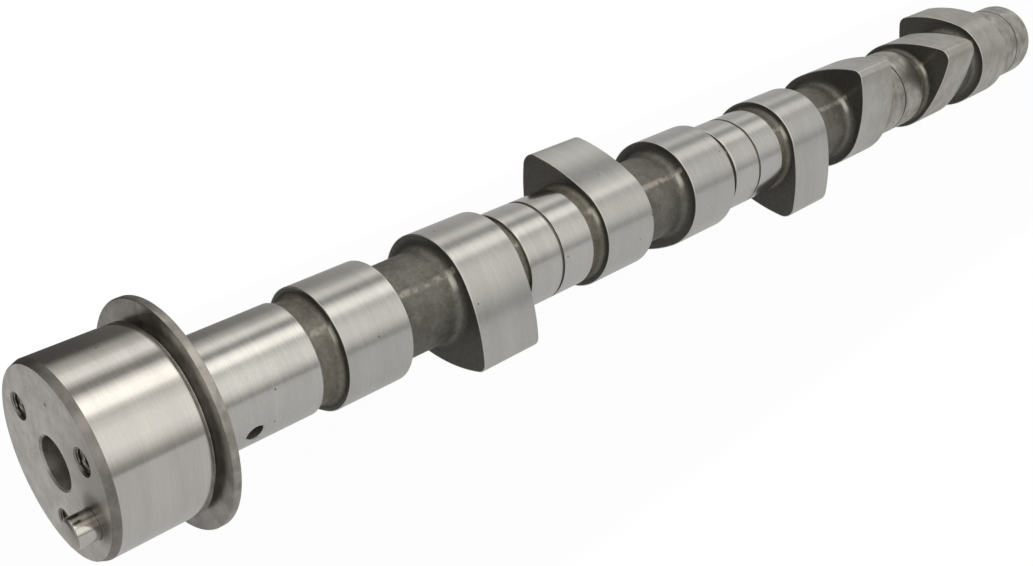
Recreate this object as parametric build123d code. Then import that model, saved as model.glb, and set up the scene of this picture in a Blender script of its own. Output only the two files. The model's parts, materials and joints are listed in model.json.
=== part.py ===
from build123d import *
import os
from math import acos, atan2, cos, radians, sin, tan

# Camshaft of a four-cylinder engine with two valves to a cylinder.
# Millimetres. The shaft's axis is +X with the origin at the centre of the pulley face,
# and +Z is up as the shaft lies on a bench. Angles are counted about +X from +Z.

# Pulley end
land_dia = 52.0              # polished land that the oil seal runs on
land_length = 26.3
lead_in_length = 2.0         # taper that lets the seal lip ride up
lead_in_depth = 0.75
undercut_width = 1.9
undercut_depth = 2.4
flange_dia = 62.5            # thrust flange
flange_thickness = 2.3
flange_edge_break = 0.35
bore_dia = 14.0              # blind centre bore
bore_depth = 32.0
bore_mouth_break = 0.5

# Pulley fixing
fixing_circle_dia = 35.0
bolt_count = 3
bolt_core_dia = 6.8          # tapping size of an M8 thread
bolt_hole_depth = 20.0
bolt_mouth_break = 0.4
dowel_dia = 8.0
dowel_length = 18.0
dowel_proud = 6.0
dowel_end_break = 0.6
dowel_mouth_break = 0.25

# Journals
journal_dia = 32.5
first_journal_length = 35.7
journal_length = 28.0
last_journal_length = 24.8
journal_edge_break = 0.4
oil_groove_width = 1.2
oil_groove_depth = 0.5
oil_hole_dia = 5.0           # cross drilling through the first journal
oil_hole_from_flange = 14.8
centre_hole_dia = 6.3        # lathe centre in the rear end
centre_pilot_dia = 2.5
centre_pilot_depth = 7.0

# Cylinders
cylinder_pitch = 104.0
valve_spacing = 43.6
cylinder_phase = (0.0, 90.0, -90.0, 180.0)   # from cylinder 1, one for each cylinder

# Shaft between the lobes and journals
first_neck_length = 7.1      # from the first journal to the first lobe
core_dia = 29.0              # as cast, between the two lobes of a cylinder
core_fillet = 3.0
core_fillet_band_count = 2   # straight bands that make up each cast fillet
neck_dia = 30.4              # between a journal and the lobe beside it
neck_fillet = 1.8
neck_fillet_band_count = 1
least_fillet = 0.1

# Lobes. Each is a base circle, two convex flanks and a nose, all tangent.
lobe_width = 22.2
lobe_edge_break = 0.3
front_base_radius = 18.2
front_lift = 10.25
front_nose_radius = 4.8
front_flank_radius = 66.0
rear_base_radius = 19.0
rear_lift = 9.1
rear_nose_radius = 3.7
rear_flank_radius = 50.0
lobe_separation = 105.8      # from the rear lobe's nose on to the front lobe's

# Roll of the shaft as it lies on the flange rim and the last lobe
first_nose_angle = -132.3
dowel_from_first_nose = -107.9
oil_hole_from_first_nose = -115.8

drill_point_angle = 118.0
countersink_angle = 90.0
lathe_centre_angle = 60.0
over_cut = 1.0               # how far a cut starts outside the metal

land_radius = land_dia / 2
flange_radius = flange_dia / 2
journal_radius = journal_dia / 2
flange_front = land_length + undercut_width
flange_rear = flange_front + flange_thickness
first_journal_rear = flange_rear + first_journal_length
first_lobe_front = first_journal_rear + first_neck_length
first_cylinder_station = first_lobe_front + (lobe_width + valve_spacing) / 2
dowel_angle = first_nose_angle + dowel_from_first_nose
oil_hole_angle = first_nose_angle + oil_hole_from_first_nose
front_cam = (front_base_radius, front_lift, front_nose_radius, front_flank_radius)
rear_cam = (rear_base_radius, rear_lift, rear_nose_radius, rear_flank_radius)


def turned(points):
    """Solid of revolution about X from (station, radius) points that start and end on the axis."""
    outline = Polyline([(x, 0, r) for x, r in points], close=True)
    return revolve(make_face(outline), Axis.X, 360)


def cone_length(radius, point_angle):
    """Length of a cone of that base radius and included angle."""
    return radius / tan(radians(point_angle / 2))


def drilled(dia, depth, mouth_break):
    """Blind hole along +X from the pulley face, with a drill point and a countersunk mouth."""
    r = dia / 2
    tip = depth + cone_length(r, drill_point_angle)
    flare = cone_length(mouth_break, countersink_angle)
    return turned([
        (-over_cut, 0),
        (-over_cut, r + mouth_break),
        (0, r + mouth_break),
        (flare, r),
        (depth, r),
        (tip, 0),
    ])


def on_fixing_circle(solid, angle):
    """The solid moved from the axis out to the fixing circle, at an angle about +X from +Z."""
    return Rot(angle, 0, 0) * Pos(0, 0, fixing_circle_dia / 2) * solid


def pulley_end():
    """Land, undercut, thrust flange and first journal in one turned profile."""
    edge = flange_edge_break
    end = first_journal_rear
    return turned([
        (0, 0),
        (0, land_radius - lead_in_depth),
        (lead_in_length, land_radius),
        (land_length, land_radius),
        (land_length, land_radius - undercut_depth),
        (flange_front, land_radius - undercut_depth),
        (flange_front, flange_radius - edge),
        (flange_front + edge, flange_radius),
        (flange_rear - edge, flange_radius),
        (flange_rear, flange_radius - edge),
        (flange_rear, journal_radius),
        (end - journal_edge_break, journal_radius),
        (end, journal_radius - journal_edge_break),
        (end, 0),
    ])


def journal(front, length):
    """Ground bearing journal with a thin oil groove round its middle."""
    edge = journal_edge_break
    middle = front + length / 2
    half_groove = oil_groove_width / 2
    floor = journal_radius - oil_groove_depth
    return turned([
        (front, 0),
        (front, journal_radius - edge),
        (front + edge, journal_radius),
        (middle - half_groove, journal_radius),
        (middle - half_groove, floor),
        (middle + half_groove, floor),
        (middle + half_groove, journal_radius),
        (front + length - edge, journal_radius),
        (front + length, journal_radius - edge),
        (front + length, 0),
    ])


def cam_face(base_radius, lift, nose_radius, flank_radius):
    """Cam outline in the YZ plane with its nose along +Z."""
    nose_height = base_radius + lift - nose_radius
    to_flank = flank_radius - base_radius
    nose_to_flank = flank_radius - nose_radius
    opening = acos((to_flank**2 + nose_height**2 - nose_to_flank**2) / (2 * to_flank * nose_height))
    # Centre of the flank on the +Y side lies across the axis, on the -Y side
    centre_y = -to_flank * sin(opening)
    centre_z = to_flank * cos(opening)

    def on_flank(angle):
        return centre_y + flank_radius * cos(angle), centre_z + flank_radius * sin(angle)

    base_angle = atan2(-centre_z, -centre_y)
    nose_angle = atan2(nose_height - centre_z, -centre_y)
    base_end = on_flank(base_angle)
    flank_middle = on_flank((base_angle + nose_angle) / 2)
    nose_end = on_flank(nose_angle)

    def point(yz, side=1):
        return (0, side * yz[0], yz[1])

    outline = [
        ThreePointArc(point(base_end), (0, 0, -base_radius), point(base_end, -1)),
        ThreePointArc(point(base_end, -1), point(flank_middle, -1), point(nose_end, -1)),
        ThreePointArc(point(nose_end, -1), (0, 0, base_radius + lift), point(nose_end)),
        ThreePointArc(point(nose_end), point(flank_middle), point(base_end)),
    ]
    return make_face(outline)


def lobe(middle, nose_angle, cam):
    """Ground cam lobe with its sharp side edges just broken."""
    blank = extrude(cam_face(*cam), lobe_width, dir=(1, 0, 0))
    rims = blank.edges() - blank.edges().filter_by(Axis.X)
    solid = chamfer(rims, lobe_edge_break)
    return Rot(nose_angle, 0, 0) * Pos(middle - lobe_width / 2, 0, 0) * solid


def cast_fillet(wanted, radius, cam):
    """The fillet between a round run and a lobe's side, limited by the side's height."""
    side = cam[0] - radius
    return max(least_fillet, min(wanted, side - 2 * lobe_edge_break))


def flared_run(start, face, middle, radius, fillet, band_count):
    """Round run from the start station that flares up a lobe's side face and ends at its middle."""
    toward = 1 if middle > start else -1
    foot = face - toward * fillet
    points = [(start, 0), (start, radius)]
    for band in range(band_count + 1):
        turn = radians(90) * band / band_count
        points.append((foot + toward * fillet * sin(turn), radius + fillet * (1 - cos(turn))))
    points += [(middle, radius + fillet), (middle, 0)]
    return turned(points)


def cylinder_station(number):
    """Middle of a cylinder's pair of lobes, counting from zero."""
    return first_cylinder_station + number * cylinder_pitch


def lobe_with_shaft(number, side, cam, nose_angle):
    """One lobe, with its half of the core inward of it and the neck outward of it.

    The side is -1 for the lobe towards the pulley and 1 for the other. The core runs from the
    middle of the cylinder, and the neck from the middle of the bearing outside it.
    """
    centre = cylinder_station(number)
    bearing = centre + side * cylinder_pitch / 2
    middle = centre + side * valve_spacing / 2
    inner_face = middle - side * lobe_width / 2
    outer_face = middle + side * lobe_width / 2
    core = core_dia / 2
    neck = neck_dia / 2
    core_corner = cast_fillet(core_fillet, core, cam)
    neck_corner = cast_fillet(neck_fillet, neck, cam)
    return [
        lobe(middle, nose_angle, cam),
        flared_run(centre, inner_face, middle, core, core_corner, core_fillet_band_count),
        flared_run(bearing, outer_face, middle, neck, neck_corner, neck_fillet_band_count),
    ]


def camshaft():
    """The whole shaft, cast in one piece, then ground and drilled."""
    pieces = []
    last = len(cylinder_phase) - 1
    for number, phase in enumerate(cylinder_phase):
        nose_angle = first_nose_angle + phase
        pieces += lobe_with_shaft(number, -1, front_cam, nose_angle)
        pieces += lobe_with_shaft(number, 1, rear_cam, nose_angle - lobe_separation)
        bearing_front = cylinder_station(number) + cylinder_pitch / 2 - journal_length / 2
        length = last_journal_length if number == last else journal_length
        pieces.append(journal(bearing_front, length))
    rear_end = bearing_front + last_journal_length

    tapping_hole = drilled(bolt_core_dia, bolt_hole_depth, bolt_mouth_break)
    cuts = [drilled(bore_dia, bore_depth, bore_mouth_break)]
    for index in range(bolt_count):
        angle = dowel_angle + (index + 0.5) * 360 / bolt_count
        cuts.append(on_fixing_circle(tapping_hole, angle))
    cuts.append(on_fixing_circle(dowel_hole(), dowel_angle))
    cuts.append(oil_hole())
    cuts.append(lathe_centre(rear_end))
    return pulley_end().fuse(*pieces).cut(*cuts)


def dowel_hole():
    """Reamed hole with a flat floor that the dowel is pressed down to."""
    r = dowel_dia / 2
    depth = dowel_length - dowel_proud
    return turned([
        (-over_cut, 0),
        (-over_cut, r + dowel_mouth_break),
        (0, r + dowel_mouth_break),
        (cone_length(dowel_mouth_break, countersink_angle), r),
        (depth, r),
        (depth, 0),
    ])


def oil_hole():
    """Cross drilling that goes right through the first journal."""
    drill = Cylinder(oil_hole_dia / 2, journal_dia + 2 * over_cut)
    return Pos(flange_rear + oil_hole_from_flange, 0, 0) * Rot(oil_hole_angle, 0, 0) * drill


def lathe_centre(rear_end):
    """Sixty-degree centre with its pilot, in the rear end face."""
    mouth = centre_hole_dia / 2
    pilot = centre_pilot_dia / 2
    taper = cone_length(mouth - pilot, lathe_centre_angle)
    return turned([
        (rear_end + over_cut, 0),
        (rear_end + over_cut, mouth),
        (rear_end, mouth),
        (rear_end - taper, pilot),
        (rear_end - taper - centre_pilot_depth, pilot),
        (rear_end - taper - centre_pilot_depth, 0),
    ])


def dowel_pin():
    """Parallel dowel, both ends chamfered, standing proud of the pulley face."""
    r = dowel_dia / 2
    edge = dowel_end_break
    rear = dowel_length - dowel_proud
    pin = turned([
        (-dowel_proud, 0),
        (-dowel_proud, r - edge),
        (-dowel_proud + edge, r),
        (rear - edge, r),
        (rear, r - edge),
        (rear, 0),
    ])
    return on_fixing_circle(pin, dowel_angle)


os.makedirs("parts", exist_ok=True)
export_step(camshaft(), "parts/camshaft.step")
export_step(dowel_pin(), "parts/dowel_pin.step")
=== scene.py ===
import json
import math

import bpy
from mathutils import Euler, Matrix, Vector


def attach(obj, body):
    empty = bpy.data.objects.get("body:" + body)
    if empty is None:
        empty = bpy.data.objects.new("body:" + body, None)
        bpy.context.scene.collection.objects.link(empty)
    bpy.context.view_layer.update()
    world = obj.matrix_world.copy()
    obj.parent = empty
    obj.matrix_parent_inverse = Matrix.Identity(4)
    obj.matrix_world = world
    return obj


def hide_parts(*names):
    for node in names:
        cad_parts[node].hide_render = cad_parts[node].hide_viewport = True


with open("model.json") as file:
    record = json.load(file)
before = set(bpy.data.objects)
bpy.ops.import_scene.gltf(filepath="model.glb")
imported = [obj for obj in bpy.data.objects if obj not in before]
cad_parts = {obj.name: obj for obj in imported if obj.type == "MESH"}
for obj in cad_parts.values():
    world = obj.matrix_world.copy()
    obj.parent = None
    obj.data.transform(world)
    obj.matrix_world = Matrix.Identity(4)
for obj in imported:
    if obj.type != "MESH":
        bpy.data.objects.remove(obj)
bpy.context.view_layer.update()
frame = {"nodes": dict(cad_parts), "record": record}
print("frame loaded:", sorted(frame["nodes"]))

# sizes below are in millimetres, and angles in degrees about +X from +Z
mm = 0.001
shaftAxis = (1, 0, 0)
mounts = {m["name"]: m for m in frame["record"]["mounts"]}

# steps round each turned form; thread counts rings to one pitch
facets = {
    "shaft": 160, "bore": 72, "bolt": 48, "thread": 8, "dowel": 64, "punch": 16,
    "base": 96, "flank": 26, "nose": 18,
}
# points closer than this are one, in metres
joinReach = 1e-6
smoothAngle = 28


def mmVector(x, y, z):
    return Vector((x, y, z)) * mm


def aroundShaft(angle, radius):
    # a point at an angle about +X from +Z, in millimetres
    a = math.radians(angle)
    return (0, -radius * math.sin(a), radius * math.cos(a))


def deselectAll():
    if bpy.context.object and bpy.context.object.mode != "OBJECT":
        bpy.ops.object.mode_set(mode="OBJECT")
    bpy.ops.object.select_all(action="DESELECT")


def pick(*pieces):
    deselectAll()
    for piece in pieces:
        piece.select_set(True)
    bpy.context.view_layer.objects.active = pieces[0]


def editMode(selectType="VERT"):
    bpy.ops.object.mode_set(mode="EDIT")
    bpy.ops.mesh.select_mode(type=selectType)


def objectMode():
    bpy.ops.object.mode_set(mode="OBJECT")


def selectAll():
    bpy.ops.mesh.select_all(action="SELECT")


def addPoint(name, place):
    # a single vertex to pull a line from
    deselectAll()
    bpy.ops.mesh.primitive_plane_add(size=mm, location=mmVector(*place))
    piece = bpy.context.object
    piece.name = name
    bpy.ops.object.transform_apply(location=True, rotation=True, scale=True)
    editMode()
    selectAll()
    bpy.ops.mesh.merge(type="CENTER")
    return piece


def pullLine(points):
    # pulls the selected vertex from the first point along the others
    for (x0, r0), (x1, r1) in zip(points, points[1:]):
        step = mmVector(x1 - x0, 0, r1 - r0)
        bpy.ops.mesh.extrude_region_move(TRANSFORM_OT_translate={"value": step})


def turned(name, profile, steps):
    # (station, radius) points spun once about the shaft's axis
    x, r = profile[0]
    piece = addPoint(name, (x, 0, r))
    pullLine(profile)
    selectAll()
    bpy.ops.mesh.spin(steps=steps, angle=math.tau, center=(0, 0, 0), axis=shaftAxis)
    selectAll()
    bpy.ops.mesh.remove_doubles(threshold=joinReach)
    bpy.ops.mesh.normals_make_consistent(inside=False)
    objectMode()
    return piece


def moved(piece, place, turn=0.0):
    # turns about the shaft's axis, shifts, and puts the place into the mesh
    piece.data.transform(Matrix.Translation(mmVector(*place)) @ Matrix.Rotation(math.radians(turn), 4, "X"))
    return piece


def copied(piece, name):
    twin = piece.copy()
    twin.data = piece.data.copy()
    twin.name = name
    bpy.context.scene.collection.objects.link(twin)
    return twin


castings = {
    "coreRadius": 14.5,
    "coreFillet": 3.0,
    "neckRadius": 15.2,
    "neckFillet": 1.8,
    "neckLength": 5.1,
    "filletSteps": 6,
    "ringSpacing": 0.8,
    "partingAngle": 40.0,
    "partingWidth": 2.6,
    "partingHeight": 0.28,
    "grainSize": 2.4,
    "grainHeight": 0.22,
    "grainDepth": 3,
    "skinFade": 1.2,
}


def evenly(start, end, radius, spacing):
    # points along a straight run, close enough for the cast skin
    count = max(1, round(abs(end - start) / spacing))
    return [(start + (end - start) * k / count, radius) for k in range(count + 1)]


def flare(face, toward, radius, fillet, steps):
    # a cast fillet that runs up to a lobe's side face, or down from it
    points = []
    for k in range(steps + 1):
        turn = math.radians(90) * k / steps
        x = face - toward * fillet * (1 - math.sin(turn))
        points.append((x, radius + fillet * (1 - math.cos(turn))))
    return points if toward > 0 else points[::-1]


def filletFor(wanted, radius, cam):
    return min(wanted, cam["base"] - radius - 2 * lobes["edge"])


def castRun(start, end, radius, wanted, camBefore, camAfter):
    # round cast run from start to end, flared where it meets a lobe
    points = []
    spacing = castings["ringSpacing"]
    a, b = start, end
    if camBefore:
        fillet = filletFor(wanted, radius, camBefore)
        points += flare(start, -1, radius, fillet, castings["filletSteps"])
        a = start + fillet
    tail = []
    if camAfter:
        fillet = filletFor(wanted, radius, camAfter)
        tail = flare(end, 1, radius, fillet, castings["filletSteps"])
        b = end - fillet
    run = evenly(a, b, radius, spacing)
    if camBefore:
        run = run[1:]
    if camAfter:
        run = run[:-1]
    return points + run + tail


journals = {
    "radius": mounts["journal_1"]["dims"]["r_mm"],
    "length": 28.0,
    "lastLength": 24.8,
    "edge": 0.25,
    "edgeBulge": 0.45,
    "easeDrop": 0.06,
    "easeLength": 0.15,
    "grooveWidth": 1.2,
    "grooveDepth": 0.5,
    "grooveLip": 0.08,
    "grooveSlope": 0.12,
}


def brokenEnd(x, inward):
    # softened edge where a journal's ground surface ends at x, from the end inwards
    r, e = journals["radius"], journals["edge"]
    bulge = e * journals["edgeBulge"]
    return [
        (x, r - e),
        (x + inward * bulge, r - bulge),
        (x + inward * e, r - journals["easeDrop"]),
        (x + inward * (e + journals["easeLength"]), r),
    ]


def journalProfile(front, length):
    # ground journal with its edges broken and an oil groove round its middle
    r = journals["radius"]
    mid = front + length / 2
    half = journals["grooveWidth"] / 2
    floor = r - journals["grooveDepth"]
    lip, slope = journals["grooveLip"], journals["grooveSlope"]
    groove = [
        (mid - half - lip, r),
        (mid - half, r - lip),
        (mid - half + slope, floor),
        (mid + half - slope, floor),
        (mid + half, r - lip),
        (mid + half + lip, r),
    ]
    return brokenEnd(front, 1) + groove + brokenEnd(front + length, -1)[::-1]


pulleyEnd = {
    "landRadius": mounts["seal_land"]["dims"]["r_mm"],
    "landLength": 26.3,
    "leadInLength": 2.0,
    "leadInDepth": 0.75,
    "leadInEase": (-0.1, 0.15),
    "leadInEaseDrop": 0.03,
    "faceEdge": 0.12,
    "landEdge": 0.15,
    "undercutWidth": 1.9,
    "undercutDepth": 2.4,
    "undercutCorner": 0.4,
    "flangeRadius": 31.25,
    "flangeThickness": 2.3,
    "flangeEdge": 0.35,
    "footCorner": 0.5,
    "cornerBulge": 0.3,
    "firstJournalLength": 35.7,
    "neckLength": 7.1,
}


def stations():
    # where things lie along the shaft
    p = pulleyEnd
    flangeFront = p["landLength"] + p["undercutWidth"]
    flangeRear = flangeFront + p["flangeThickness"]
    firstRear = flangeRear + p["firstJournalLength"]
    firstLobe = firstRear + p["neckLength"]
    middle = firstLobe + (lobes["width"] + lobes["spacing"]) / 2
    return flangeFront, flangeRear, firstRear, firstLobe, middle


lobes = {
    "width": 22.2,
    "spacing": 43.6,
    "pitch": 104.0,
    "edge": 0.3,
    "edgeSteps": 4,
    "edgeAngle": 60,
    "front": {"base": 18.2, "lift": 10.25, "nose": 4.8, "flank": 66.0},
    "rear": {"base": 19.0, "lift": 9.1, "nose": 3.7, "flank": 50.0},
    "firstNose": -132.3,
    "separation": 105.8,
    "phases": (0.0, 90.0, -90.0, 180.0),
}


def lobePlaces():
    # (front face, cam, nose angle) of each lobe, from the pulley to the rear
    middle = stations()[4]
    found = []
    for number, phase in enumerate(lobes["phases"]):
        centre = middle + number * lobes["pitch"]
        nose = lobes["firstNose"] + phase
        for side, cam, angle in ((-1, "front", nose), (1, "rear", nose - lobes["separation"])):
            found.append((centre + side * lobes["spacing"] / 2 - lobes["width"] / 2, lobes[cam], angle))
    return found


def pulleyProfile():
    # front edge, land, undercut, flange, first journal and the neck to the first lobe
    p = pulleyEnd
    flangeFront, flangeRear, firstRear, firstLobe, _ = stations()
    land, flange, r = p["landRadius"], p["flangeRadius"], journals["radius"]
    floor = land - p["undercutDepth"]
    c, e, f, bulge = p["undercutCorner"], p["flangeEdge"], p["footCorner"], p["cornerBulge"]
    easeFront, easeRear = p["leadInEase"]
    turnedRun = [
        (0, land - p["leadInDepth"] - p["faceEdge"]),
        (p["faceEdge"], land - p["leadInDepth"]),
        (p["leadInLength"] + easeFront, land - p["leadInEaseDrop"]),
        (p["leadInLength"] + easeRear, land),
        (p["landLength"] - p["landEdge"], land),
        (p["landLength"], land - p["landEdge"]),
        (p["landLength"], floor + c),
        (p["landLength"] + c * bulge, floor + c * bulge),
        (p["landLength"] + c, floor),
        (flangeFront - c, floor),
        (flangeFront - c * bulge, floor + c * bulge),
        (flangeFront, floor + c),
        (flangeFront, flange - e),
        (flangeFront + e * bulge, flange - e * bulge),
        (flangeFront + e, flange),
        (flangeRear - e, flange),
        (flangeRear - e * bulge, flange - e * bulge),
        (flangeRear, flange - e),
        (flangeRear, r + f),
        (flangeRear + f * bulge, r + f * bulge),
        (flangeRear + f, r),
    ]
    neck = castRun(firstRear, firstLobe, castings["neckRadius"], castings["neckFillet"], None, lobes["front"])
    return turnedRun + brokenEnd(firstRear, -1)[::-1] + neck


def rearProfile(start, rearEnd):
    # last neck, last journal and the end face with its lathe centre
    mouth, pilot = holes["centreMouth"], holes["centrePilot"]
    breakDepth, breakWidth = holes["centreBreak"]
    taperEnd = rearEnd - (mouth - pilot) / math.tan(math.radians(holes["centreAngle"]))
    pilotEnd = taperEnd - holes["centrePilotDepth"]
    neckEnd = rearEnd - journals["lastLength"]
    run = castRun(start, neckEnd, castings["neckRadius"], castings["neckFillet"], lobes["rear"], None)
    end = [
        (rearEnd, mouth + breakWidth),
        (rearEnd - breakDepth, mouth),
        (taperEnd, pilot),
        (pilotEnd, pilot),
        (pilotEnd - holes["centreTip"], 0),
    ]
    return run + journalProfile(neckEnd, journals["lastLength"]) + end


def camLobe(name, cam):
    # outline drawn by spinning one vertex about the centres of its four tangent arcs
    noseHeight = cam["base"] + cam["lift"] - cam["nose"]
    toFlank = cam["flank"] - cam["base"]
    across = cam["flank"] - cam["nose"]
    opening = math.acos((toFlank**2 + noseHeight**2 - across**2) / (2 * toFlank * noseHeight))
    flankY, flankZ = -toFlank * math.sin(opening), toFlank * math.cos(opening)
    baseAngle = math.atan2(-flankZ, -flankY)
    noseAngle = math.atan2(noseHeight - flankZ, -flankY)
    start = (0, flankY + cam["flank"] * math.cos(baseAngle), flankZ + cam["flank"] * math.sin(baseAngle))
    flankTurn = noseAngle - baseAngle
    arcs = [
        ((0, flankY, flankZ), flankTurn, facets["flank"]),
        ((0, 0, noseHeight), math.pi - 2 * noseAngle, facets["nose"]),
        ((0, -flankY, flankZ), flankTurn, facets["flank"]),
        ((0, 0, 0), math.pi + 2 * baseAngle, facets["base"]),
    ]
    piece = addPoint(name, start)
    for centre, turn, steps in arcs:
        bpy.ops.mesh.spin(steps=steps, angle=-turn, center=mmVector(*centre), axis=shaftAxis)
    selectAll()
    bpy.ops.mesh.remove_doubles(threshold=2 * joinReach)
    bpy.ops.mesh.edge_face_add()
    width = mmVector(lobes["width"], 0, 0)
    bpy.ops.mesh.extrude_region_move(TRANSFORM_OT_translate={"value": width})
    selectAll()
    bpy.ops.mesh.normals_make_consistent(inside=False)
    objectMode()
    edge = piece.modifiers.new("brokenEdge", "BEVEL")
    edge.width = lobes["edge"] * mm
    edge.segments = lobes["edgeSteps"]
    edge.limit_method = "ANGLE"
    edge.angle_limit = math.radians(lobes["edgeAngle"])
    pick(piece)
    bpy.ops.object.modifier_apply(modifier=edge.name)
    # the two flat sides go, and come back when the shaft is joined to them
    largeArea = 100 * mm**2
    removeFaces(piece, lambda f: abs(f.normal.x) > 0.999 and f.area > largeArea)
    return piece


def removeFaces(piece, wanted):
    # deletes the faces that a test picks out
    pick(piece)
    mesh = piece.data
    for group in (mesh.vertices, mesh.edges):
        group.foreach_set("select", [False] * len(group))
    for f in mesh.polygons:
        f.select = wanted(f)
    editMode("FACE")
    bpy.ops.mesh.delete(type="FACE")
    objectMode()


def fillPlane(piece, station):
    # closes the flat face at a station, between all the open rings that lie in it
    pick(piece)
    mesh = piece.data
    x = station * mm
    uses = [0] * len(mesh.edges)
    for p in mesh.polygons:
        for k in p.loop_indices:
            uses[mesh.loops[k].edge_index] += 1
    chosen = []
    for e in mesh.edges:
        a, b = (mesh.vertices[v].co.x for v in e.vertices)
        if uses[e.index] < 2 and max(abs(a - x), abs(b - x)) < 2 * joinReach:
            chosen.append(e.index)
    for group in (mesh.polygons, mesh.edges, mesh.vertices):
        group.foreach_set("select", [False] * len(group))
    for k in chosen:
        mesh.edges[k].select = True
        for v in mesh.edges[k].vertices:
            mesh.vertices[v].select = True
    editMode("EDGE")
    bpy.ops.mesh.fill(use_beauty=True)
    objectMode()


holes = {
    "boreRadius": mounts["centre_bore"]["dims"]["r_mm"],
    "boreDepth": 32.0,
    "boreBreak": 0.5,
    "circleRadius": mounts["pulley_bolts"]["dims"]["pcd_mm"] / 2,
    "boltCount": mounts["pulley_bolts"]["dims"]["count"],
    "coreRadius": mounts["pulley_bolts"]["dims"]["hole_r_mm"],
    "threadDepth": 0.52,
    "threadPitch": 1.25,
    "threadLength": 13.0,
    "threadFlat": 1.35,
    "threadStart": 0.3,
    "boltDepth": 20.0,
    "boltBreak": 0.4,
    "drillCone": 31.0,
    "oilRadius": 2.5,
    "oilStation": 45.3,
    "oilAngle": 111.9,
    "oilBreak": 0.35,
    "oilOvershoot": 2.0,
    "punchRadius": 0.65,
    "punchDepth": 0.22,
    "punchPlace": 17.1,
    "punchAngle": 2.6,
    "centreMouth": 3.15,
    "centrePilot": 1.25,
    "centrePilotDepth": 7.0,
    "centreAngle": 30.0,
    "centreBreak": (0.1, 0.15),
    "centreTip": 0.4,
}


def drilledHole(name, radius, mouthBreak, depth, steps):
    # blind hole along the axis with a countersunk mouth and a drill point
    tip = depth + radius * math.tan(math.radians(holes["drillCone"]))
    return turned(name, [(0, radius + mouthBreak), (mouthBreak, radius), (depth, radius), (tip, 0)], steps)


def threadedHole(name):
    # fine rings, then a helical wave pushes them out into the thread's grooves
    r = holes["coreRadius"]
    pitch = holes["threadPitch"]
    rings = round(holes["threadLength"] / pitch * facets["thread"])
    run = [(holes["boltBreak"] + holes["threadLength"] * k / rings, r) for k in range(rings + 1)]
    tip = holes["boltDepth"] + r * math.tan(math.radians(holes["drillCone"]))
    profile = [(0, r + holes["boltBreak"])] + run + [(holes["boltDepth"], r), (tip, 0)]
    piece = turned(name, profile, facets["bolt"])
    threadEnd = holes["boltBreak"] + holes["threadLength"]
    for v in piece.data.vertices:
        x, y, z = v.co / mm
        if not holes["boltBreak"] < x < threadEnd:
            continue
        turn = math.atan2(-y, z) / math.tau
        phase = (x / pitch - turn) % 1.0
        wave = min(1.0, holes["threadFlat"] * (1 - abs(2 * phase - 1)))
        fade = min(1.0, (threadEnd - x) / pitch, (x - holes["boltBreak"]) / (pitch * holes["threadStart"]))
        k = (r + holes["threadDepth"] * wave * max(0.0, fade)) / r
        v.co.y *= k
        v.co.z *= k
    return piece


def oilCutter():
    # the drill that goes right through the first journal, wider at both mouths
    r, b = holes["oilRadius"], holes["oilBreak"]
    surface = math.sqrt(journals["radius"] ** 2 - r**2)
    out = journals["radius"] + holes["oilOvershoot"]
    mouth = r + b + out - surface
    profile = [(-out, 0), (-out, mouth), (-surface + b, r), (surface - b, r), (out, mouth), (out, 0)]
    cutter = turned("oilCutter", profile, facets["bolt"])
    cutter.data.transform(Matrix.Rotation(math.radians(-90), 4, "Y"))
    return moved(cutter, (holes["oilStation"], 0, 0), holes["oilAngle"])


dowel = {
    "radius": 4.0,
    "length": 18.0,
    "proud": 6.0,
    "edge": 0.6,
    "edgeRound": 0.12,
    "roundIn": 0.4,
    "roundDown": 0.5,
    "angle": 119.8,
    "mouthBreak": 0.25,
}


def makeDowel():
    # polished parallel pin with chamfered ends, their corners slightly rounded
    r, e, k = dowel["radius"], dowel["edge"], dowel["edgeRound"]
    front, rear = -dowel["proud"], dowel["length"] - dowel["proud"]
    across, down = k * dowel["roundIn"], k * dowel["roundDown"]
    profile = [
        (front, 0),
        (front, r - e - k),
        (front + across, r - e),
        (front + e - across, r - down),
        (front + e + k, r),
        (rear - e, r),
        (rear, r - e),
        (rear, 0),
    ]
    pin = turned("dowel_pin_body", profile, facets["dowel"])
    pin.data.name = "dowel_pin_body"
    return moved(pin, aroundShaft(dowel["angle"], holes["circleRadius"]))


def dowelSeat():
    # the hole that the dowel is pressed into, with a flat floor
    r, mouth, depth = dowel["radius"], dowel["mouthBreak"], dowel["length"] - dowel["proud"]
    seat = turned("dowelSeat", [(0, r + mouth), (mouth, r), (depth, r), (depth, 0)], facets["bolt"])
    return moved(seat, aroundShaft(dowel["angle"], holes["circleRadius"]))


def faceHoles():
    # what is sunk into the pulley face, as open cups that share its plane
    found = [drilledHole("bore", holes["boreRadius"], holes["boreBreak"], holes["boreDepth"], facets["bore"])]
    bolt = threadedHole("bolt")
    for k in range(holes["boltCount"]):
        angle = dowel["angle"] + (k + 0.5) * 360 / holes["boltCount"]
        found.append(moved(copied(bolt, "bolt.%d" % k), aroundShaft(angle, holes["circleRadius"])))
    bpy.data.objects.remove(bolt)
    found.append(dowelSeat())
    punch = turned("punch", [(0, holes["punchRadius"]), (holes["punchDepth"], 0)], facets["punch"])
    found.append(moved(punch, aroundShaft(holes["punchAngle"], holes["punchPlace"])))
    return found


def crossDrilled(piece):
    # cuts the oil hole through a closed piece
    cutter = oilCutter()
    drill = piece.modifiers.new("crossDrilling", "BOOLEAN")
    drill.operation = "DIFFERENCE"
    drill.solver = "EXACT"
    drill.object = cutter
    pick(piece)
    bpy.ops.object.modifier_apply(modifier=drill.name)
    bpy.data.objects.remove(cutter)


def facedOutwards(piece):
    pick(piece)
    editMode()
    selectAll()
    bpy.ops.mesh.normals_make_consistent(inside=False)
    objectMode()


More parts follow.
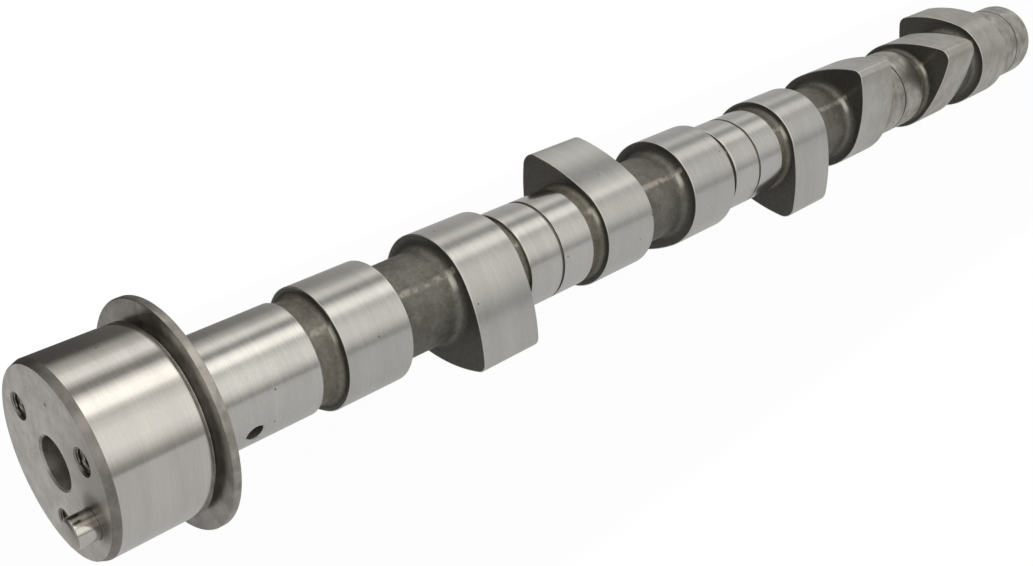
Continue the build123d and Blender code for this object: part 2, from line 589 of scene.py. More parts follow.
def makePulleyEnd():
    profile = pulleyProfile()
    rear = profile[-1][0]
    end = turned("pulleyEnd", profile, facets["shaft"])
    castSkin(end, [(rear - pulleyEnd["neckLength"], rear)])
    pick(end, *faceHoles())
    bpy.ops.object.join()
    fillPlane(end, 0)
    # a lid makes the piece closed for the cross drilling
    fillPlane(end, rear)
    facedOutwards(end)
    crossDrilled(end)
    removeFaces(end, lambda f: abs(f.center.x - rear * mm) < joinReach and abs(f.normal.x) > 0.9)
    return end


def makeLobes(places):
    blanks = [camLobe("frontCam", lobes["front"]), camLobe("rearCam", lobes["rear"])]
    found = []
    for k, (front, _, nose) in enumerate(places):
        found.append(moved(copied(blanks[k % 2], "lobe.%d" % k), (front, 0, 0), nose))
    for blank in blanks:
        bpy.data.objects.remove(blank)
    return found


def makeRuns(places):
    # what lies behind each lobe: a core inside each pair, then necks with a journal between them
    neck, fillet = castings["neckRadius"], castings["neckFillet"]
    last = len(places) - 1
    found = []
    for k, (front, cam, _) in enumerate(places):
        rear = front + lobes["width"]
        ahead, camAhead, _ = places[min(k + 1, last)]
        journalFront = rear + castings["neckLength"]
        if k == last:
            name, skins = "rearEnd", [(rear, journalFront)]
            profile = rearProfile(rear, journalFront + journals["lastLength"])
        elif k % 2 == 0:
            name, skins = "core.%d" % k, [(rear, ahead)]
            profile = castRun(rear, ahead, castings["coreRadius"], castings["coreFillet"], cam, camAhead)
        else:
            journalRear = ahead - castings["neckLength"]
            name, skins = "journal.%d" % k, [(rear, journalFront), (journalRear, ahead)]
            profile = castRun(rear, journalFront, neck, fillet, cam, None)
            profile += journalProfile(journalFront, journalRear - journalFront)
            profile += castRun(journalRear, ahead, neck, fillet, None, camAhead)
        found.append(turned(name, profile, facets["shaft"]))
        castSkin(found[-1], skins)
    return found


def makeShaft(places):
    shaft = makePulleyEnd()
    print("pulley end:", len(shaft.data.polygons), "faces")
    cams = makeLobes(places)
    print("lobes:", len(cams))
    pick(shaft, *cams, *makeRuns(places))
    bpy.ops.object.join()
    for front, _, _ in places:
        fillPlane(shaft, front)
        fillPlane(shaft, front + lobes["width"])
    pick(shaft)
    editMode()
    selectAll()
    bpy.ops.mesh.remove_doubles(threshold=joinReach)
    objectMode()
    facedOutwards(shaft)
    shaft.name = "camshaft_body"
    shaft.data.name = "camshaft_body"
    return shaft


def weighted(piece, name, weightAt):
    # a vertex group whose weights follow a place-by-place rule, in millimetres
    group = piece.vertex_groups.new(name=name)
    for v in piece.data.vertices:
        w = weightAt(*(v.co / mm))
        if w > 0:
            group.add([v.index], w, "REPLACE")
    return group


def pushOut(piece, group, height, texture=None):
    # moves the surface of one group outward, evenly or by a texture
    push = piece.modifiers.new(group.name, "DISPLACE")
    push.vertex_group = group.name
    push.strength = height * mm
    push.mid_level = 0.0
    if texture:
        push.texture = texture
        push.texture_coords = "LOCAL"
        push.mid_level = 0.5
    pick(piece)
    bpy.ops.object.modifier_apply(modifier=push.name)


def castSkin(piece, skins):
    # rough sand-cast surface and the low ridge where the two mould halves met
    grain = bpy.data.textures.new("sandGrain", "CLOUDS")
    grain.noise_scale = castings["grainSize"] * mm
    grain.noise_depth = castings["grainDepth"]
    side = math.radians(castings["partingAngle"])
    half = castings["partingWidth"] / 2
    fade = castings["skinFade"]

    def onSkin(x, *_):
        for a, b in skins:
            if a < x < b:
                return min(1.0, (x - a) / fade, (b - x) / fade)
        return 0.0

    def onRidge(x, y, z):
        off = abs(y * math.cos(side) + z * math.sin(side))
        return onSkin(x) * max(0.0, 1 - (off / half) ** 2)

    pushOut(piece, weighted(piece, "sandSkin", onSkin), castings["grainHeight"], grain)
    pushOut(piece, weighted(piece, "partingRidge", onRidge), castings["partingHeight"])


def addNode(tree, kind, place, **settings):
    node = tree.nodes.new(kind)
    node.location = place
    for key, value in settings.items():
        setattr(node, key, value)
    return node


def mathNode(tree, place, operation, a, b=None, c=None, clamp=False):
    # a Math node; a socket is linked and a number is typed in
    node = addNode(tree, "ShaderNodeMath", place, operation=operation, use_clamp=clamp)
    for k, value in enumerate((a, b, c)):
        if value is None:
            continue
        if hasattr(value, "links"):
            tree.links.new(value, node.inputs[k])
        else:
            node.inputs[k].default_value = value
    return node.outputs[0]


def mixNode(tree, place, factor, a, b):
    # a colour Mix node; a socket is linked and a colour is typed in
    node = addNode(tree, "ShaderNodeMix", place, data_type="RGBA")
    for k, value in ((0, factor), (6, a), (7, b)):
        if hasattr(value, "links"):
            tree.links.new(value, node.inputs[k])
        elif k:
            node.inputs[k].default_value = (*value, 1)
        else:
            node.inputs[k].default_value = value
    return node.outputs[2]


def spreadNode(tree, place, value, low, high, a=0.0, b=1.0):
    # a smooth Map Range from low..high to a..b
    node = addNode(tree, "ShaderNodeMapRange", place, interpolation_type="SMOOTHSTEP")
    tree.links.new(value, node.inputs["Value"])
    for key, number in (("From Min", low), ("From Max", high), ("To Min", a), ("To Max", b)):
        node.inputs[key].default_value = number
    return node.outputs["Result"]


def noiseNode(tree, place, vector, scale, detail, rough):
    node = addNode(tree, "ShaderNodeTexNoise", place)
    tree.links.new(vector, node.inputs["Vector"])
    node.inputs["Scale"].default_value = scale
    node.inputs["Detail"].default_value = detail
    node.inputs["Roughness"].default_value = rough
    return node.outputs[0]


def stretched(tree, place, scale=(1, 1, 1)):
    # Object coordinates in metres, times a factor along each axis
    coords = addNode(tree, "ShaderNodeTexCoord", place)
    mapping = addNode(tree, "ShaderNodeMapping", (place[0] + 180, place[1]))
    mapping.inputs["Scale"].default_value = scale
    tree.links.new(coords.outputs["Object"], mapping.inputs["Vector"])
    return mapping.outputs[0]


def bumpNode(tree, place, height, strength, distance):
    node = addNode(tree, "ShaderNodeBump", place)
    node.inputs["Strength"].default_value = strength
    node.inputs["Distance"].default_value = distance * mm
    tree.links.new(height, node.inputs["Height"])
    return node.outputs["Normal"]


def giveOut(tree, results):
    # one output of a node group for each result
    for label in results:
        kind = "NodeSocketVector" if label == "Normal" else "NodeSocketFloat"
        tree.interface.new_socket(name=label, in_out="OUTPUT", socket_type=kind)
    out = addNode(tree, "NodeGroupOutput", (900, 0))
    for label, socket in results.items():
        tree.links.new(socket, out.inputs[label])


# marks left by the grinding wheel; each noise is scale per metre, detail and roughness
grinding = {
    "lineNoise": (2600, 4, 0.7),
    "lineStretch": (1, 0.02, 0.02),
    "dotNoise": (900, 4, 0.7),
    "dotShare": 0.5,
    "shadeSpan": (0.2, 0.8),
    "glossSpan": (0.15, 0.85),
    "wearNoise": (150, 3, 0.55),
    "wearStretch": (1, 0.15, 0.15),
    "wearSpan": (0.35, 0.7),
    "pitSpacing": 150,
    "pitSpan": (0.025, 0.06),
    "pitColour": (0.17, 0.155, 0.135),
    "cloudNoise": (190, 5, 0.65),
    "cloudSpan": (0.36, 0.64),
    "stainNoise": (165, 5, 0.66),
    "stainStretch": (1.4, 1, 1),
    "stainStations": (315.0, 355.0),
    "stainLeast": 0.06,
    "blotSpan": (0.34, 0.66),
    "blotLeast": 0.4,
    "stainDulling": 0.2,
    "bump": 0.12,
    "bumpDepth": 0.002,
}


def grindingGroup():
    # fine lines round the shaft, faint bands of wear, pits, clouds on flat faces,
    # and the stains of old oil that get worse towards the rear
    g = grinding
    tree = bpy.data.node_groups.new("grindingMarks", "ShaderNodeTree")
    plain = stretched(tree, (-700, -320))
    drawn = stretched(tree, (-600, 200), g["lineStretch"])
    banded = stretched(tree, (-600, -60), g["wearStretch"])
    fine = noiseNode(tree, (-200, 200), drawn, *g["lineNoise"])
    broad = noiseNode(tree, (-200, -60), banded, *g["wearNoise"])
    dots = noiseNode(tree, (-200, -320), plain, *g["dotNoise"])
    lines = mathNode(tree, (100, 200), "MULTIPLY_ADD", dots, g["dotShare"], fine)
    even = mathNode(tree, (300, 200), "SUBTRACT", lines, g["dotShare"] / 2)
    cells = addNode(tree, "ShaderNodeTexVoronoi", (-200, -560))
    cells.inputs["Scale"].default_value = g["pitSpacing"]
    tree.links.new(plain, cells.inputs["Vector"])
    clouds = noiseNode(tree, (-200, -800), plain, *g["cloudNoise"])
    blotted = stretched(tree, (-600, -1050), g["stainStretch"])
    spots = noiseNode(tree, (-200, -1050), blotted, *g["stainNoise"])
    split = addNode(tree, "ShaderNodeSeparateXYZ", (-200, -1300))
    tree.links.new(plain, split.inputs[0])
    front, rear = g["stainStations"]
    rearward = spreadNode(tree, (100, -1300), split.outputs["X"], front * mm, rear * mm, g["stainLeast"])
    blots = spreadNode(tree, (100, -1050), spots, *g["blotSpan"], g["blotLeast"])
    giveOut(tree, {
        "Lines": even,
        "Wear": spreadNode(tree, (100, -60), broad, *g["wearSpan"]),
        "Pits": spreadNode(tree, (100, -560), cells.outputs["Distance"], *g["pitSpan"], 1, 0),
        "Clouds": spreadNode(tree, (100, -800), clouds, *g["cloudSpan"]),
        "Stain": mathNode(tree, (300, -1100), "MULTIPLY", rearward, blots),
        "Normal": bumpNode(tree, (300, -200), fine, g["bump"], g["bumpDepth"]),
    })
    return tree


# surface of the raw casting; noises as above, and distances in millimetres from the mould
# joint (line; side of the painted glint) or above the bare run (fillet, with its painted shade; rise of the
# painted glint), each as start and end
sandCast = {
    "metallic": 0.75,
    "grainNoise": (900, 6, 0.65),
    "grainSpan": (0.3, 0.7),
    "grainShade": (0.85, 1.15),
    "blotchNoise": (150, 5, 0.62),
    "blotchSpan": (0.3, 0.7),
    "patchNoise": (390, 4, 0.65),
    "patchSpan": (0.4, 0.58),
    "patchLeast": 0.15,
    "line": (0.25, 1.5),
    "fillet": (0.4, 1.7),
    "trimRise": ((0.2, 0.5), (1.0, 1.8)),
    "trimSide": ((-6.2, -3.0), (-0.5, 0.6)),
    "bump": 0.45,
    "bumpDepth": 0.1,
}


def castGroup():
    # sand grain, blotches, the line between the mould halves, painted shade darkening the fillets
    # and a painted glint on the fillets beside the mould joint
    c = sandCast
    tree = bpy.data.node_groups.new("castSurface", "ShaderNodeTree")
    tree.interface.new_socket(name="Run Radius", in_out="INPUT", socket_type="NodeSocketFloat")
    given = addNode(tree, "NodeGroupInput", (-900, -900))
    vector = stretched(tree, (-700, 0))
    grain = noiseNode(tree, (-300, 250), vector, *c["grainNoise"])
    blotches = noiseNode(tree, (-300, 0), vector, *c["blotchNoise"])
    patchy = noiseNode(tree, (-300, -250), vector, *c["patchNoise"])

    def within(place, distance, span, a=0.0, b=1.0):
        return spreadNode(tree, place, distance, span[0] * mm, span[1] * mm, a, b)

    side = math.radians(castings["partingAngle"])
    across = addNode(tree, "ShaderNodeVectorMath", (-300, -500), operation="DOT_PRODUCT")
    across.inputs[1].default_value = (0, math.cos(side), math.sin(side))
    tree.links.new(vector, across.inputs[0])
    aside = across.outputs["Value"]
    line = within((80, -500), mathNode(tree, (-100, -500), "ABSOLUTE", aside), c["line"], 1, 0)
    broken = spreadNode(tree, (80, -250), patchy, *c["patchSpan"], c["patchLeast"])
    radial = addNode(tree, "ShaderNodeVectorMath", (-300, -750), operation="MULTIPLY")
    radial.inputs[1].default_value = (0, 1, 1)
    tree.links.new(vector, radial.inputs[0])
    reach = addNode(tree, "ShaderNodeVectorMath", (-100, -750), operation="LENGTH")
    tree.links.new(radial.outputs[0], reach.inputs[0])
    rise = mathNode(tree, (80, -750), "SUBTRACT", reach.outputs["Value"], given.outputs["Run Radius"])
    # painted glint: a ring on the fillets just beside the mould joint
    ringFoot = within((280, -950), rise, c["trimRise"][0])
    ringTop = within((280, -1150), rise, c["trimRise"][1], 1, 0)
    below = within((80, -950), aside, c["trimSide"][0])
    above = within((80, -1150), aside, c["trimSide"][1], 1, 0)
    span = mathNode(tree, (460, -1000), "MULTIPLY", below, above)
    ring = mathNode(tree, (460, -1150), "MULTIPLY", ringFoot, ringTop)
    giveOut(tree, {
        "Grain": grain,
        "Blotches": spreadNode(tree, (80, 0), blotches, *c["blotchSpan"]),
        "Parting": mathNode(tree, (300, -400), "MULTIPLY", line, broken),
        # painted shade: the fillets, by their rise above the bare run
        "Fillet": within((280, -750), rise, c["fillet"]),
        "Trim": mathNode(tree, (640, -1000), "MULTIPLY", span, ring),
        "Normal": bumpNode(tree, (300, 250), grain, c["bump"], c["bumpDepth"]),
    })
    return tree


def newMaterial(name, colour, metallic, roughness):
    mat = bpy.data.materials.new(name)
    mat.use_nodes = True
    tree = mat.node_tree
    shader = tree.nodes["Principled BSDF"]
    shader.inputs["Base Color"].default_value = (*colour, 1)
    shader.inputs["Metallic"].default_value = metallic
    shader.inputs["Roughness"].default_value = roughness
    mat.diffuse_color = (*colour, 1)
    return mat, tree, shader


# each machined finish: its colour and roughness, and how much the wheel's marks change them
groundFinishes = {
    "groundSealLand": {
        "colour": (0.62, 0.6, 0.57), "roughness": 0.13, "wearTint": 0.92, "spread": 0.04, "lines": 0.05},
    "turnedLeadIn": {
        "colour": (0.28, 0.263, 0.244), "roughness": 0.42, "wearTint": 0.75, "spread": 0.08,
        "patches": "Clouds"},
    "groundPulleyFace": {
        "colour": (0.65, 0.622, 0.59), "roughness": 0.42, "wearTint": 0.78, "spread": 0.1,
        "patches": "Clouds"},
    "turnedFlange": {
        "colour": (0.43, 0.407, 0.376), "roughness": 0.38, "wearTint": 0.68, "spread": 0.14,
        "patches": "Clouds"},
    "groundJournal": {
        "colour": (0.61, 0.6, 0.575), "roughness": 0.18, "wearTint": 0.93, "spread": 0.06, "lines": 0.07,
        "stainTint": (0.3, 0.277, 0.247)},
    "groundLobe": {
        "colour": (0.56, 0.553, 0.53), "roughness": 0.2, "wearTint": 0.93, "spread": 0.07, "lines": 0.07,
        "stainTint": (0.41, 0.388, 0.35)},
    # painted highlight: the broken edges of the lobes in a lighter copy of the lobe metal
    "lobeEdge": {"colour": (0.6, 0.59, 0.565), "roughness": 0.3, "wearTint": 0.9, "spread": 0.08},
    # painted shade: the oil groove is much darker than its journal
    "oilGroove": {"colour": (0.3, 0.285, 0.26), "roughness": 0.45, "wearTint": 0.8, "spread": 0.1},
    "boredHole": {
        "colour": (0.5, 0.47, 0.44), "roughness": 0.4, "wearTint": 0.55, "spread": 0.1, "patches": "Clouds",
        "metallic": 0.8},
    # painted shade: the threaded and drilled holes are darker than the faces they are sunk in
    "drilledSteel": {"colour": (0.29, 0.272, 0.25), "roughness": 0.3, "wearTint": 0.8, "spread": 0.1},
    "polishedDowel": {"colour": (0.64, 0.62, 0.59), "roughness": 0.12, "wearTint": 0.92, "spread": 0.04},
}


def groundMetal(name, marks, colour, roughness, wearTint, spread, patches="Wear", lines=0.1,
                metallic=1.0, stainTint=None):
    # ground or turned metal: wear or clouds in a darker tint, and stains in their own
    mat, tree, shader = newMaterial(name, colour, metallic, roughness)
    group = addNode(tree, "ShaderNodeGroup", (-900, 0), node_tree=marks)
    worn = tuple(c * wearTint for c in colour)
    tint = mixNode(tree, (-600, 200), group.outputs[patches], colour, worn)
    fine, g, half = group.outputs["Lines"], grinding, spread / 2
    speckle = spreadNode(tree, (-600, 0), fine, *g["shadeSpan"], 1 - lines, 1 + lines)
    gloss = spreadNode(tree, (-600, -200), fine, *g["glossSpan"], roughness - half, roughness + half)
    shade = addNode(tree, "ShaderNodeVectorMath", (-400, 200), operation="SCALE")
    tree.links.new(tint, shade.inputs[0])
    tree.links.new(speckle, shade.inputs["Scale"])
    finish = shade.outputs[0]
    if stainTint:
        stain = group.outputs["Stain"]
        gloss = mathNode(tree, (-400, -200), "MULTIPLY_ADD", stain, g["stainDulling"], gloss)
        finish = mixNode(tree, (-220, 400), stain, finish, stainTint)
    pitted = mixNode(tree, (-220, 200), group.outputs["Pits"], finish, g["pitColour"])
    tree.links.new(pitted, shader.inputs["Base Color"])
    tree.links.new(gloss, shader.inputs["Roughness"])
    tree.links.new(group.outputs["Normal"], shader.inputs["Normal"])
    return mat


# each cast finish: skin and blotch colours, and those of the parting line, the painted fillet shade and the
# painted fillet glint
castFinishes = {
    "castCore": {
        "dark": (0.146, 0.142, 0.124), "light": (0.215, 0.21, 0.184), "roughness": 0.55,
        "runRadius": castings["coreRadius"], "partingTint": (0.42, 0.385, 0.34),
        "filletTint": (0.1, 0.097, 0.085), "trimTint": (0.5, 0.49, 0.44)},
    # the necks: the cast skin a little browner, and lighter as painted light against the shade of the narrow
    # gap between journal and lobe
    "castNeck": {
        "dark": (0.16, 0.15, 0.128), "light": (0.25, 0.235, 0.2), "roughness": 0.57,
        "runRadius": castings["neckRadius"], "partingTint": (0.42, 0.385, 0.34),
        "filletTint": (0.085, 0.081, 0.072), "trimTint": (0.5, 0.49, 0.44)},
    "castLobeSide": {
        "dark": (0.1, 0.095, 0.084), "light": (0.148, 0.14, 0.123), "roughness": 0.42,
        "runRadius": castings["neckRadius"], "partingTint": (0.148, 0.14, 0.123),
        "filletTint": (0.1, 0.095, 0.084), "trimTint": (0.148, 0.14, 0.123)},
}


def castMetal(name, surface, dark, light, roughness, runRadius, partingTint, filletTint, trimTint):
    # raw cast iron: dark skin, lighter blotches, a scraped line at the mould joint
    mat, tree, shader = newMaterial(name, dark, sandCast["metallic"], roughness)
    group = addNode(tree, "ShaderNodeGroup", (-1000, 0), node_tree=surface)
    group.inputs["Run Radius"].default_value = runRadius * mm
    tint = mixNode(tree, (-800, 200), group.outputs["Blotches"], dark, light)
    # painted shade: the fillets where they rise to the lobes are darkened
    filletShaded = mixNode(tree, (-600, 200), group.outputs["Fillet"], tint, filletTint)
    grain, c = group.outputs["Grain"], sandCast
    grains = spreadNode(tree, (-600, 0), grain, *c["grainSpan"], *c["grainShade"])
    shade = addNode(tree, "ShaderNodeVectorMath", (-420, 200), operation="SCALE")
    tree.links.new(filletShaded, shade.inputs[0])
    tree.links.new(grains, shade.inputs["Scale"])
    scraped = mixNode(tree, (-240, 200), group.outputs["Parting"], shade.outputs[0], partingTint)
    # painted highlight: a light glint on the fillets beside the mould joint
    glinted = mixNode(tree, (-240, 400), group.outputs["Trim"], scraped, trimTint)
    tree.links.new(glinted, shader.inputs["Base Color"])
    tree.links.new(group.outputs["Normal"], shader.inputs["Normal"])
    return mat


# painted on the pulley face: a broad browner darkening where it mirrors the dowel, a painted dark reflection,
# and painted shade round the foot of the dowel
paintedFaceShade = [
    {"angle": 84, "radius": 25, "core": 4, "reach": 27, "tint": (0.37, 0.343, 0.318)},
    {"angle": dowel["angle"] - 14, "radius": holes["circleRadius"] + 1.5, "core": 3.5, "reach": 8,
     "tint": (0.15, 0.132, 0.118)},
]


def paintedShadeOn(mat, angle, radius, core, reach, tint):
    # soft patch of painted shade: solid out to core, gone at reach from its middle
    tree = mat.node_tree
    shader = tree.nodes["Principled BSDF"]
    under = shader.inputs["Base Color"].links[0].from_socket
    away = addNode(tree, "ShaderNodeVectorMath", (-400, 700), operation="DISTANCE")
    away.inputs[1].default_value = mmVector(*aroundShaft(angle, radius))
    tree.links.new(stretched(tree, (-800, 700)), away.inputs[0])
    near = spreadNode(tree, (-200, 700), away.outputs["Value"], core * mm, reach * mm, 1, 0)
    tree.links.new(mixNode(tree, (0, 500), near, under, tint), shader.inputs["Base Color"])


def makeMaterials():
    marks, surface = grindingGroup(), castGroup()
    made = {name: groundMetal(name, marks, **values) for name, values in groundFinishes.items()}
    made.update({name: castMetal(name, surface, **values) for name, values in castFinishes.items()})
    for shadePatch in paintedFaceShade:
        paintedShadeOn(made["groundPulleyFace"], **shadePatch)
    return made


def journalPlaces(places):
    # (front, length) of each journal behind a pair of lobes
    found = []
    for k in range(1, len(places), 2):
        front = places[k][0] + lobes["width"] + castings["neckLength"]
        length = journals["length"] if k + 1 < len(places) else journals["lastLength"]
        found.append((front, length))
    return found


# how far a face may lie from an edge or a surface and still belong to it
slack = {"edge": 0.02, "leadIn": 0.1, "groove": 0.05, "undercut": 0.3, "oilHole": 0.6, "hole": 1.0}


def finishAt(x, r, nx, places):
    # which finish a face of the shaft has, from its station, radius and direction
    p, e = pulleyEnd, slack["edge"]
    _, flangeRear, firstRear, _, _ = stations()
    if x < e:
        return "groundPulleyFace"
    if x < flangeRear and r < p["landRadius"] - p["undercutDepth"] - slack["undercut"]:
        return "boredHole" if r < holes["boreRadius"] + slack["hole"] else "drilledSteel"
    if x < p["leadInLength"] + slack["leadIn"]:
        return "turnedLeadIn"
    if x < p["landLength"] - p["landEdge"]:
        return "groundSealLand"
    if x < flangeRear + e:
        return "turnedFlange"
    if x < firstRear:
        return "groundJournal" if r > journals["radius"] - slack["oilHole"] else "boredHole"
    for front, _, _ in places:
        if front - e < x < front + lobes["width"] + e:
            if abs(nx) < 0.1:
                return "groundLobe"
            return "castLobeSide" if abs(nx) > 0.99 else "lobeEdge"
    behindPairs = journalPlaces(places)
    for front, length in behindPairs:
        if front + e < x < front + length - e:
            if r < holes["centreMouth"] + slack["hole"]:
                return "drilledSteel"
            off = abs(x - front - length / 2)
            inGroove = off < journals["grooveWidth"] / 2 and r < journals["radius"] - slack["groove"]
            return "oilGroove" if inGroove else "groundJournal"
    front, length = behindPairs[-1]
    if x > front + length - e:
        return "groundPulleyFace"
    for (front, _, _), (ahead, _, _) in zip(places[::2], places[1::2]):
        if front < x < ahead:
            return "castCore"
    return "castNeck"


def dress(piece, finishes, choose):
    # one material slot for each finish, and every face sent to its own
    names = list(finishes)
    for mat in finishes.values():
        piece.data.materials.append(mat)
    for f in piece.data.polygons:
        c = f.center / mm
        f.material_index = names.index(choose(c.x, math.hypot(c.y, c.z), f.normal.x))


def smoothed(piece):
    # round where it is round, and flat faces kept flat beside small edge breaks
    pick(piece)
    bpy.ops.object.shade_smooth_by_angle(angle=math.radians(smoothAngle))
    flat = piece.modifiers.new("flatFaces", "WEIGHTED_NORMAL")
    flat.keep_sharp = True
    flat.weight = 100
    bpy.ops.object.modifier_apply(modifier=flat.name)


# the light room and the bench; a band is (angle from straight up toward the camera, level),
# and the lengths of the floor are in metres
studio = {
    "yaw": 16.0,
    "bands": [
        (-180, 0.42), (-100, 0.5), (-62, 0.5), (-50, 0.46), (-42, 0.52), (-34, 0.72), (-27, 1.1),
        (-18, 1.2), (-12, 0.75), (-6, 0.28), (0, 0.28), (5, 0.9), (10, 1.55), (16, 1.85), (24, 1.75),
        (29, 0.95), (33, 0.74), (38, 0.92), (48, 1.14), (64, 1.16), (72, 1.0), (78, 0.72), (84, 0.4),
        (89, 0.3), (94, 0.42), (100, 0.62), (112, 0.72), (130, 0.62), (180, 0.45),
    ],
    "farEnd": (0.3, 1.0),
    "farLevel": 0.47,
    "farDulling": 0.8,
    "darkSide": (0.3, 0.62),
    "darkLevel": 0.02,
    "darkAngles": (-42, -62),
    "darkColour": (0.036, 0.03, 0.026),
    "warm": (1.0, 0.975, 0.925),
    "whiteInMetal": 0.04,
    "floorTilt": 1.668,
    "floorLength": 3.0,
    "floorNear": -1.6,
    "floorFar": 0.12,
    "floorShade": 0.42,
    "floorWhite": 0.975,
    "floorInMetal": 0.43,
    "floorFading": (0.02, 0.09),
}


def whiteShare(tree, rays, place, seen, inMetal):
    # how much of the white backdrop each kind of ray meets: camera, metal and glass
    x, y = place
    metal = mathNode(tree, (x, y), "MULTIPLY", rays.outputs["Is Glossy Ray"], inMetal)
    both = mathNode(tree, (x + 160, y), "MULTIPLY_ADD", rays.outputs["Is Camera Ray"], seen, metal)
    glass = rays.outputs["Is Transmission Ray"]
    return mathNode(tree, (x + 320, y), "MULTIPLY_ADD", glass, seen, both, clamp=True)


def makeWorld():
    # soft light room for the metal to mirror; the camera sees plain white
    world = bpy.data.worlds.new("lightRoom")
    bpy.context.scene.world = world
    world.use_nodes = True
    tree = world.node_tree
    tree.nodes.clear()
    coords = addNode(tree, "ShaderNodeTexCoord", (-1500, 0))
    split = addNode(tree, "ShaderNodeSeparateXYZ", (-1300, -200))
    across = addNode(tree, "ShaderNodeVectorMath", (-1300, 100), operation="DOT_PRODUCT")
    yaw = math.radians(studio["yaw"])
    across.inputs[1].default_value = (math.sin(yaw), -math.cos(yaw), 0)
    tree.links.new(coords.outputs["Generated"], split.inputs[0])
    tree.links.new(coords.outputs["Generated"], across.inputs[0])
    angle = mathNode(tree, (-1100, 0), "ARCTAN2", across.outputs["Value"], split.outputs["Z"])
    turn = mathNode(tree, (-900, 0), "MULTIPLY_ADD", angle, 1 / math.tau, 0.5)
    ramp = addNode(tree, "ShaderNodeValToRGB", (-700, 0))
    ramp.color_ramp.interpolation = "EASE"
    stops = ramp.color_ramp.elements
    while len(stops) > 1:
        stops.remove(stops[-1])
    for k, (degrees, level) in enumerate(studio["bands"]):
        place = degrees / 360 + 0.5
        stop = stops[0] if k == 0 else stops.new(place)
        stop.position = place
        stop.color = (*(level * c for c in studio["warm"]), 1)
    tree.links.new(turn, ramp.inputs[0])
    # towards the far end of the shaft the strips fade into an even light
    fading = spreadNode(tree, (-900, 300), split.outputs["X"], *studio["farEnd"], 0, studio["farDulling"])
    strips = mixNode(tree, (-450, 100), fading, ramp.outputs[0], (studio["farLevel"],) * 3)
    # the far side of the room is unlit where the shaft points away from it
    dark = spreadNode(tree, (-900, -300), split.outputs["X"], *studio["darkSide"], studio["darkLevel"])
    behind = spreadNode(tree, (-900, -550), angle, *(math.radians(a) for a in studio["darkAngles"]))
    shade = mathNode(tree, (-600, -400), "SUBTRACT", 1, dark)
    dim = mathNode(tree, (-400, -400), "MULTIPLY", shade, behind)
    room = mixNode(tree, (-200, 0), dim, strips, studio["darkColour"])
    rays = addNode(tree, "ShaderNodeLightPath", (-200, 300))
    lit = addNode(tree, "ShaderNodeBackground", (0, 0))
    white = addNode(tree, "ShaderNodeBackground", (0, -150))
    white.inputs["Color"].default_value = (1, 1, 1, 1)
    pickRay = addNode(tree, "ShaderNodeMixShader", (250, 0))
    out = addNode(tree, "ShaderNodeOutputWorld", (450, 0))
    tree.links.new(room, lit.inputs["Color"])
    tree.links.new(whiteShare(tree, rays, (0, 300), 1.0, studio["whiteInMetal"]), pickRay.inputs[0])
    tree.links.new(lit.outputs[0], pickRay.inputs[1])
    tree.links.new(white.outputs[0], pickRay.inputs[2])
    tree.links.new(pickRay.outputs[0], out.inputs[0])


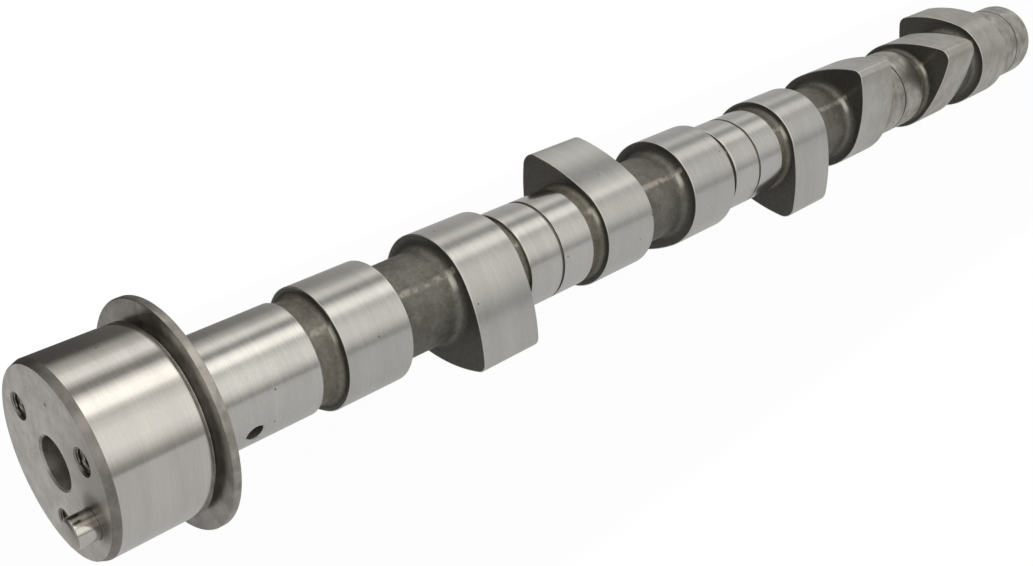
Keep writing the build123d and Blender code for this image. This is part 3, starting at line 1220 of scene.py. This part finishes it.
def makeFloor():
    # white bench under the flange rim and the last lobe; shows the shaft's soft shadow
    deselectAll()
    near, far = studio["floorNear"], studio["floorFar"]
    bpy.ops.mesh.primitive_plane_add(size=1)
    floor = bpy.context.object
    floor.name = "floor"
    floor.data.transform(Matrix.Diagonal((studio["floorLength"], far - near, 1, 1)))
    floor.data.transform(Matrix.Translation((0, (near + far) / 2, 0)))
    # it turns about the line where it touches the rim of the flange
    rim = mmVector(stations()[1] - pulleyEnd["flangeEdge"], 0, -pulleyEnd["flangeRadius"])
    tilt = Matrix.Rotation(math.radians(-studio["floorTilt"]), 4, "Y")
    floor.data.transform(Matrix.Translation(rim) @ tilt)
    mat, tree, shader = newMaterial("whiteBench", (studio["floorShade"],) * 3, 0.0, 0.9)
    rays = addNode(tree, "ShaderNodeLightPath", (-600, 300))
    glow = addNode(tree, "ShaderNodeEmission", (0, 300))
    glow.inputs["Color"].default_value = (1, 1, 1, 1)
    glow.inputs["Strength"].default_value = 1.0
    seen = whiteShare(tree, rays, (-400, 450), studio["floorWhite"], studio["floorInMetal"])
    # away from the shaft the bench fades into the white of the backdrop
    split = addNode(tree, "ShaderNodeSeparateXYZ", (-600, 700))
    tree.links.new(stretched(tree, (-1000, 700)), split.inputs[0])
    aside = mathNode(tree, (-400, 700), "ABSOLUTE", split.outputs["Y"])
    whiter = spreadNode(tree, (-200, 700), aside, *studio["floorFading"])
    fading = mathNode(tree, (0, 700), "MULTIPLY", whiter, rays.outputs["Is Camera Ray"])
    blend = addNode(tree, "ShaderNodeMixShader", (300, 100))
    tree.links.new(mathNode(tree, (160, 500), "MAXIMUM", seen, fading), blend.inputs[0])
    tree.links.new(shader.outputs[0], blend.inputs[1])
    tree.links.new(glow.outputs[0], blend.inputs[2])
    tree.links.new(blend.outputs[0], tree.nodes["Material Output"].inputs[0])
    floor.data.materials.append(mat)


# the place that the photograph was taken from
viewpoint = {
    "place": (-93.213, -236.965, 180.524),
    "turn": (60.937, -1.499, -45.412),
    "lens": 43.157,
    "sensorWidth": 36,
    "nearest": 10.0,
}


def makeCamera():
    data = bpy.data.cameras.new("camera")
    data.lens = viewpoint["lens"]
    data.sensor_width = viewpoint["sensorWidth"]
    data.clip_start = viewpoint["nearest"] * mm
    camera = bpy.data.objects.new("camera", data)
    camera.location = mmVector(*viewpoint["place"])
    camera.rotation_euler = Euler([math.radians(a) for a in viewpoint["turn"]])
    bpy.context.scene.collection.objects.link(camera)
    bpy.context.scene.camera = camera


materials = makeMaterials()
print("finishes:", len(materials))
places = lobePlaces()
shaft = makeShaft(places)
shaftFinishes = {name: mat for name, mat in materials.items() if name != "polishedDowel"}
dress(shaft, shaftFinishes, lambda x, r, nx: finishAt(x, r, nx, places))
smoothed(shaft)
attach(shaft, "root")
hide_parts("camshaft")
print("shaft:", len(shaft.data.polygons), "faces")

pin = makeDowel()
pinFinishes = {name: materials[name] for name in ("polishedDowel", "groundPulleyFace")}
dress(pin, pinFinishes, lambda x, r, nx: "groundPulleyFace" if abs(nx) > 0.6 else "polishedDowel")
smoothed(pin)
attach(pin, "root")
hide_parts("dowel_pin")
print("dowel:", len(pin.data.polygons), "faces")

makeFloor()
makeWorld()
makeCamera()
bpy.context.scene.view_settings.view_transform = "Standard"
print("light room, bench and camera in place")
